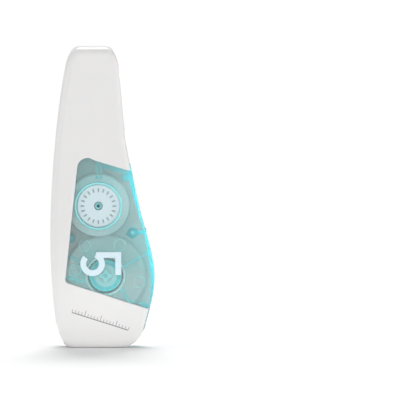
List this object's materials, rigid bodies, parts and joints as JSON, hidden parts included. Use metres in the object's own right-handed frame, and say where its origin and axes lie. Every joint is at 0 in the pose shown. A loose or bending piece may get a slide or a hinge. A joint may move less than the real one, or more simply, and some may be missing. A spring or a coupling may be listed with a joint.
{
  "type": "correction tape roller",
  "caption": "Pocket correction tape roller: a see-through case with geared tape reels and a wedge applicator swings out of a white C-shaped cover.",
  "frame": {"origin": "middle of the flat base that the closed roller stands on", "axes": "+Z from the base to the cap, +X to the open side of the cover, -Y to the front face"},
  "size_m": [0.0319, 0.0144, 0.0919],
  "materials": {
    "cover_front_shell": "satin white moulded plastic",
    "cover_back_shell": "satin white moulded plastic",
    "case_front_shell": "clear blue moulded plastic",
    "case_back_shell": "clear blue moulded plastic",
    "numeral_five": "pale printed ink",
    "applicator_holder": "white moulded plastic",
    "applicator_tip": "pale soft elastomer",
    "tape_run": "white correction film on a clear carrier",
    "film_run": "used clear carrier film",
    "supply_hub_clip": "pale blue moulded plastic",
    "supply_gear": "grey moulded plastic",
    "clutch_ring": "blue moulded plastic",
    "clutch_washer": "grey-teal moulded plastic",
    "supply_core": "white moulded plastic",
    "supply_back_flange": "frosted moulded plastic",
    "supply_front_flange": "frosted moulded plastic",
    "tape_roll": "wound correction tape",
    "take_up_gear": "white moulded plastic",
    "take_up_drum": "white moulded plastic",
    "take_up_front_flange": "white moulded plastic",
    "take_up_dial": "white moulded plastic",
    "wound_film": "used clear carrier film"
  },
  "bodies": {
    "cover": {"cover_front_shell": "cover_front_shell", "cover_back_shell": "cover_back_shell"},
    "case": {"case_front_shell": "case_front_shell", "case_back_shell": "case_back_shell", "numeral_five": "numeral_five", "applicator_holder": "applicator_holder", "applicator_tip": "applicator_tip", "tape_run": "tape_run", "film_run": "film_run", "supply_hub_clip": "supply_hub_clip"},
    "supply_reel": {"supply_core": "supply_core", "supply_back_flange": "supply_back_flange", "supply_front_flange": "supply_front_flange", "tape_roll": "tape_roll"},
    "drive_gear": {"supply_gear": "supply_gear", "clutch_ring": "clutch_ring", "clutch_washer": "clutch_washer"},
    "take_up_reel": {"take_up_gear": "take_up_gear", "take_up_drum": "take_up_drum", "take_up_front_flange": "take_up_front_flange", "take_up_dial": "take_up_dial", "wound_film": "wound_film"}
  },
  "joints": [
    {"name": "case_swing", "type": "hinge", "parent": "cover", "child": "case", "pos_m": [0.008, 0, 0.008], "axis": [0, 1, 0], "range_deg": [0, 90]},
    {"name": "supply_reel_spin", "type": "hinge", "parent": "case", "child": "supply_reel", "pos_m": [0.001, 0, 0.022], "axis": [0, 1, 0], "continuous": true},
    {"name": "drive_gear_spin", "type": "hinge", "parent": "case", "child": "drive_gear", "pos_m": [0.001, 0, 0.022], "axis": [0, 1, 0], "continuous": true},
    {"name": "take_up_spin", "type": "hinge", "parent": "case", "child": "take_up_reel", "pos_m": [-0.00118, 0, 0.04349], "axis": [0, 1, 0], "continuous": true}
  ],
  "couplings": [
    {"joint": "drive_gear_spin", "follows": "supply_reel_spin", "ratio": 1},
    {"joint": "take_up_spin", "follows": "supply_reel_spin", "ratio": -1.3478}
  ]
}
